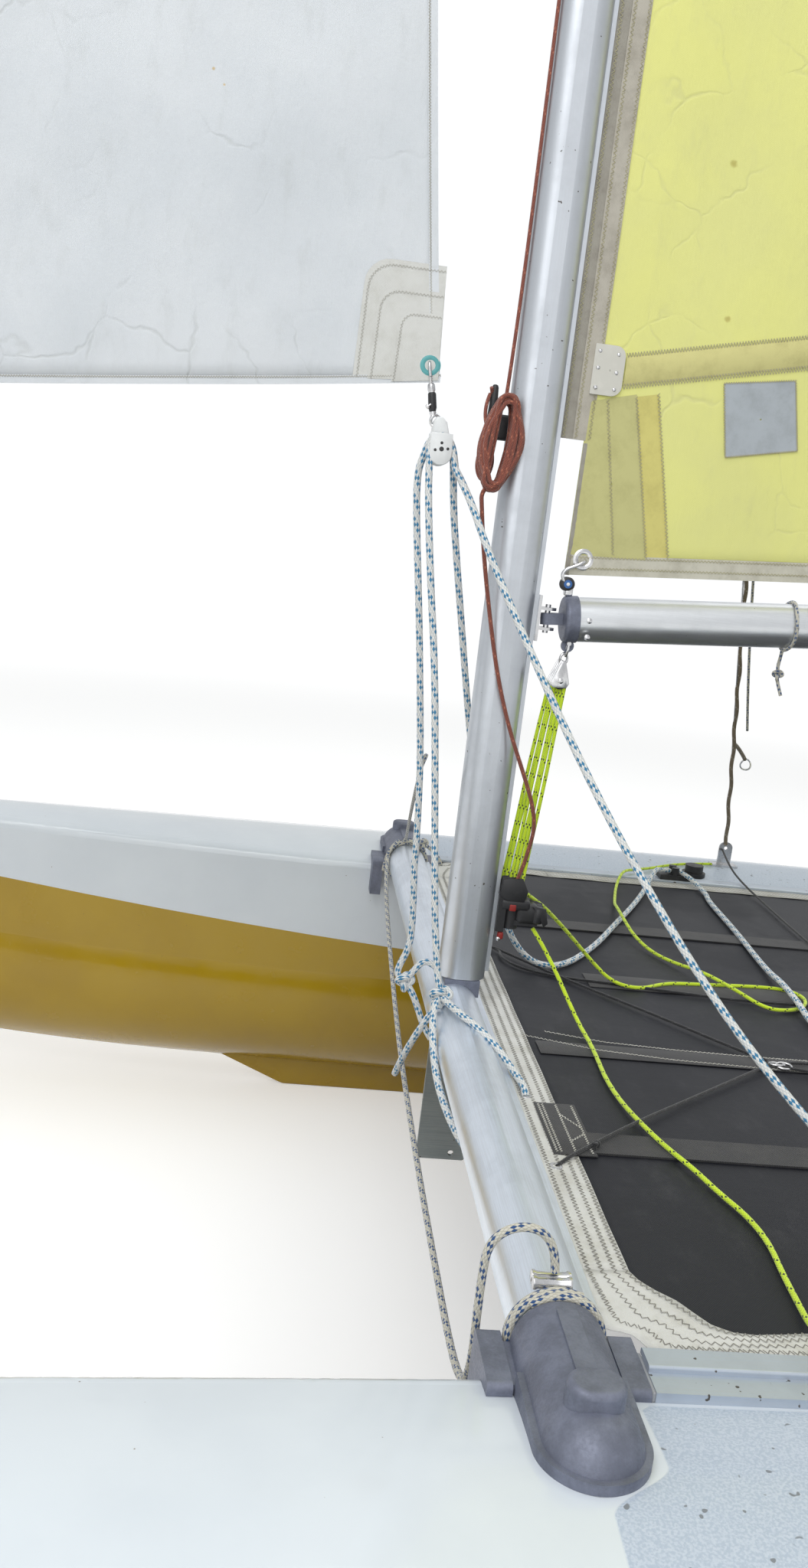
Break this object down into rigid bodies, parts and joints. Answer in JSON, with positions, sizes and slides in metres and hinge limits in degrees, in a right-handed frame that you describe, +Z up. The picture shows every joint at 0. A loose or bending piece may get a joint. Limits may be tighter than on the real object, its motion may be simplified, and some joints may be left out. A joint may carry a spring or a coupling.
{
  "type": "small beach sailing catamaran",
  "caption": "Small beach catamaran, rigged and parked: twin decked hulls on alloy cross beams, trampoline, turning mast, boom, main and jib, linked kick-up rudders.",
  "frame": {"origin": "bottom centre of the whole boat's box, on the floor that its keels stand on", "axes": "+X forward to the bows, +Y to port, +Z up the mast"},
  "size_m": [5.1164, 2.3142, 6.89],
  "materials": {
    "hull_yellow": "polished yellow gelcoat",
    "deck_white": "glossy white gelcoat",
    "anodised": "satin anodised, lightly scratched",
    "cast_grey": "rough cast, dull grey",
    "steel": "stainless wire and fittings",
    "sail_yellow": "stiff woven sailcloth, slightly see-through",
    "sail_white": "stiff woven sailcloth, creased",
    "batten": "sewn pocket tape",
    "tramp_cloth": "coated woven cloth",
    "webbing": "woven webbing",
    "rope": "braided rope, white with blue flecks",
    "rope_neon": "braided rope, neon yellow with black flecks",
    "rope_red": "braided rope, red-brown",
    "black_plastic": "moulded",
    "white_plastic": "moulded",
    "blade": "painted board"
  },
  "bodies": {
    "root": {"hull_port": "hull_yellow", "hull_starboard": "hull_yellow", "deck_port": "deck_white", "deck_starboard": "deck_white", "front_casting_port": "cast_grey", "front_casting_starboard": "cast_grey", "rear_casting_port": "cast_grey", "rear_casting_starboard": "cast_grey", "front_beam": "anodised", "rear_beam": "anodised", "tramp_rails": "anodised", "centre_plate": "anodised", "traveller_track": "anodised", "trampoline": "tramp_cloth", "toe_straps": "webbing", "mast_step": "cast_grey", "chainplates": "steel", "bow_tangs": "steel", "stay_shackle": "steel", "apex_link": "steel", "forestay": "steel", "shrouds": "steel", "bridles": "steel", "jib": "sail_white", "clew_block": "white_plastic", "sheet_cleats": "black_plastic", "deck_blocks": "black_plastic", "gudgeons": "steel", "rope_sheet_port": "rope", "rope_sheet_starboard": "rope", "rope_sheet_end": "rope", "rope_between_hulls": "rope", "rope_downhaul_port": "rope_neon", "rope_downhaul_starboard": "rope_neon", "rope_ferrule": "steel"},
    "mast": {"mast": "anodised", "mast_foot": "cast_grey", "masthead": "cast_grey", "gooseneck": "steel", "downhaul_cleat": "black_plastic", "halyard_cleat": "black_plastic", "rope_halyard_tail": "rope_red", "rope_halyard_coil": "rope_red"},
    "boom": {"boom": "anodised", "boom_front_casting": "cast_grey", "boom_back_casting": "cast_grey", "mainsail": "sail_yellow", "battens": "batten"},
    "rudder_port": {"rudder_stock_port": "cast_grey", "tiller_port": "anodised"},
    "rudder_starboard": {"rudder_stock_starboard": "cast_grey", "tiller_starboard": "anodised"},
    "blade_port": {"rudder_blade_port": "blade"},
    "blade_starboard": {"rudder_blade_starboard": "blade"},
    "crossbar": {"crossbar": "anodised"},
    "extension": {"tiller_extension": "anodised"}
  },
  "joints": [
    {"name": "mast_turn", "type": "hinge", "parent": "root", "child": "mast", "pos_m": [0.74723, 0, 0.644], "axis": [0, 0, 1], "range_deg": [-45, 45]},
    {"name": "boom_swing", "type": "hinge", "parent": "mast", "child": "boom", "pos_m": [0.69123, 0, 1.18], "axis": [0, 0, -1], "range_deg": [-45, 45]},
    {"name": "steer", "type": "hinge", "parent": "root", "child": "rudder_port", "pos_m": [-1.76377, 0.978, 0.6], "axis": [0, 0, 1], "range_deg": [-35, 35]},
    {"name": "steer_starboard", "type": "hinge", "parent": "root", "child": "rudder_starboard", "pos_m": [-1.76377, -0.978, 0.6], "axis": [0, 0, 1], "range_deg": [-35, 35]},
    {"name": "crossbar_pivot", "type": "hinge", "parent": "rudder_port", "child": "crossbar", "pos_m": [-1.21677, 0.978, 0.728], "axis": [0, 0, 1], "range_deg": [-35, 35]},
    {"name": "blade_port_lower", "type": "hinge", "parent": "rudder_port", "child": "blade_port", "pos_m": [-1.85177, 0.978, 0.45], "axis": [0, -1, 0], "range_deg": [0, 100]},
    {"name": "blade_starboard_lower", "type": "hinge", "parent": "rudder_starboard", "child": "blade_starboard", "pos_m": [-1.85177, -0.978, 0.45], "axis": [0, -1, 0], "range_deg": [0, 100]},
    {"name": "extension_swing", "type": "hinge", "parent": "crossbar", "child": "extension", "pos_m": [-1.21677, 0, 0.757], "axis": [0, 0, -1], "range_deg": [0, 170]}
  ],
  "couplings": [
    {"joint": "steer_starboard", "follows": "steer", "ratio": 1},
    {"joint": "crossbar_pivot", "follows": "steer", "ratio": -1}
  ]
}
